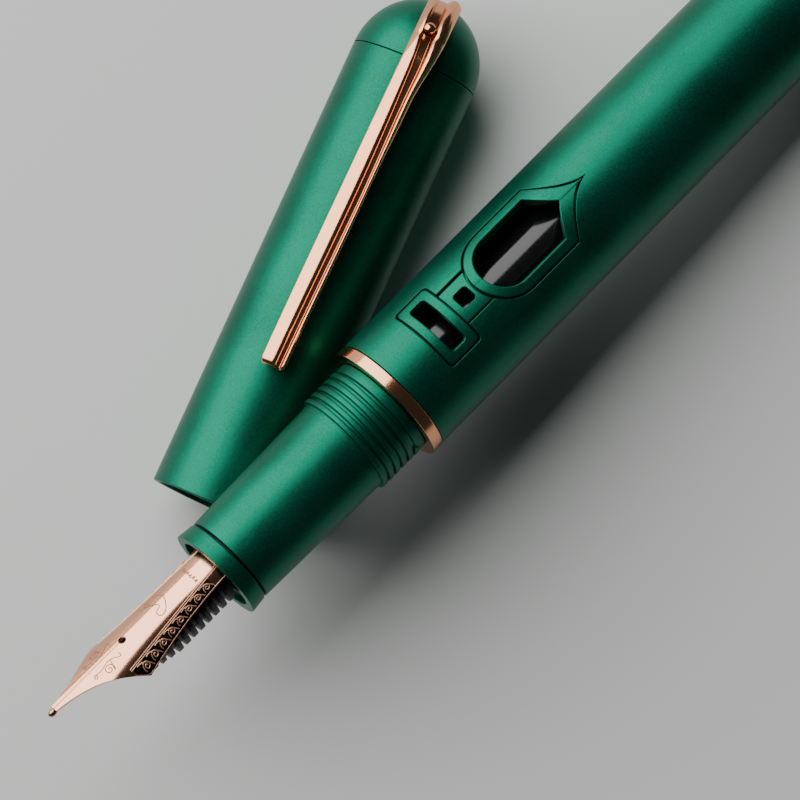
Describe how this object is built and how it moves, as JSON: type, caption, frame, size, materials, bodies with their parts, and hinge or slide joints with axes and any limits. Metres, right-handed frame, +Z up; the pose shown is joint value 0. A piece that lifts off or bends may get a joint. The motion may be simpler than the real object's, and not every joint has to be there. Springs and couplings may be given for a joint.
{
  "type": "fountain pen",
  "caption": "Uncapped fountain pen with shaped barrel windows, rose-gold nib and ring, leaning on its lying cap with clip.",
  "frame": {"origin": "centre of the bounding box on the surface that the cap and the pen's rear end rest on", "axes": "+X along the cap's axis from its mouth to its dome, +Z up from the surface; the pen's axis is turned 20 degrees from +X towards -Y and slopes down to the rear"},
  "size_m": [0.1138, 0.0486, 0.0233],
  "materials": {
    "anodised_green": "emerald green anodised aluminium, satin",
    "rose_gold_trim": "rose-gold plated brass, polished",
    "rose_gold_nib": "rose-gold plated steel, polished and engraved",
    "iridium": "hard alloy writing tip, ground and polished",
    "black_plastic": "moulded black plastic, satin",
    "smoked_plastic": "black ink tube, glossy",
    "rubber": "black nitrile rubber",
    "brass": "turned brass",
    "steel": "turned stainless steel"
  },
  "bodies": {
    "barrel": {"barrel_tube": "anodised_green", "barrel_end": "anodised_green", "trim_ring": "rose_gold_trim", "barrel_thread_sleeve": "brass", "window_frame_gate": "anodised_green", "window_bridge": "anodised_green", "window_frame_arch": "anodised_green"},
    "section_thread": {"section_o_ring": "rubber"},
    "section": {"grip_section": "anodised_green", "section_end_ring": "anodised_green", "nib_housing": "black_plastic"},
    "nib_unit": {"nib": "rose_gold_nib", "nib_tip": "iridium", "feed": "black_plastic"},
    "converter": {"converter_mouth": "black_plastic", "converter_tube": "smoked_plastic", "converter_rear_collar": "rose_gold_trim"},
    "converter_drive": {"converter_knob": "black_plastic", "converter_spindle": "steel"},
    "piston": {"piston_head": "black_plastic", "piston_seal": "rubber", "piston_rod": "black_plastic"},
    "cap": {"cap_shell": "anodised_green", "cap_dome": "anodised_green", "inner_cap": "black_plastic", "cap_screw": "steel", "clip_rivet": "rose_gold_trim"},
    "clip": {"clip": "rose_gold_trim"}
  },
  "joints": [
    {"name": "section_advance", "type": "slide", "parent": "barrel", "child": "section_thread", "axis": [-0.9328, 0.3395, 0.1208], "range_m": [0, 0.0064]},
    {"name": "section_turn", "type": "hinge", "parent": "section_thread", "child": "section", "pos_m": [-0.01538, 0.00637, 0.01525], "axis": [-0.9328, 0.3395, 0.1208], "range_deg": [0, 2880]},
    {"name": "nib_pull", "type": "slide", "parent": "section", "child": "nib_unit", "axis": [-0.9328, 0.3395, 0.1208], "range_m": [0, 0.02]},
    {"name": "converter_pull", "type": "slide", "parent": "section", "child": "converter", "axis": [0.9328, -0.3395, -0.1208], "range_m": [0, 0.0046]},
    {"name": "knob_turn", "type": "hinge", "parent": "converter", "child": "converter_drive", "pos_m": [0.03126, -0.01061, 0.00921], "axis": [-0.9328, 0.3395, 0.1208], "range_deg": [0, 1440]},
    {"name": "piston_travel", "type": "slide", "parent": "converter", "child": "piston", "axis": [0.9328, -0.3395, -0.1208], "range_m": [0, 0.02]},
    {"name": "cap_slide", "type": "slide", "parent": "barrel", "child": "cap", "axis": [1, 0, 0], "range_m": [0, 0.06]},
    {"name": "clip_flex", "type": "hinge", "parent": "cap", "child": "clip", "pos_m": [0.02182, 0.0177, 0.01192], "axis": [0, 1, 0], "range_deg": [0, 2.5], "stiffness_Nm_per_rad": 2}
  ],
  "couplings": [
    {"joint": "section_turn", "follows": "section_advance", "rad_per_m": 7854},
    {"joint": "knob_turn", "follows": "piston_travel", "rad_per_m": 1256.6}
  ]
}
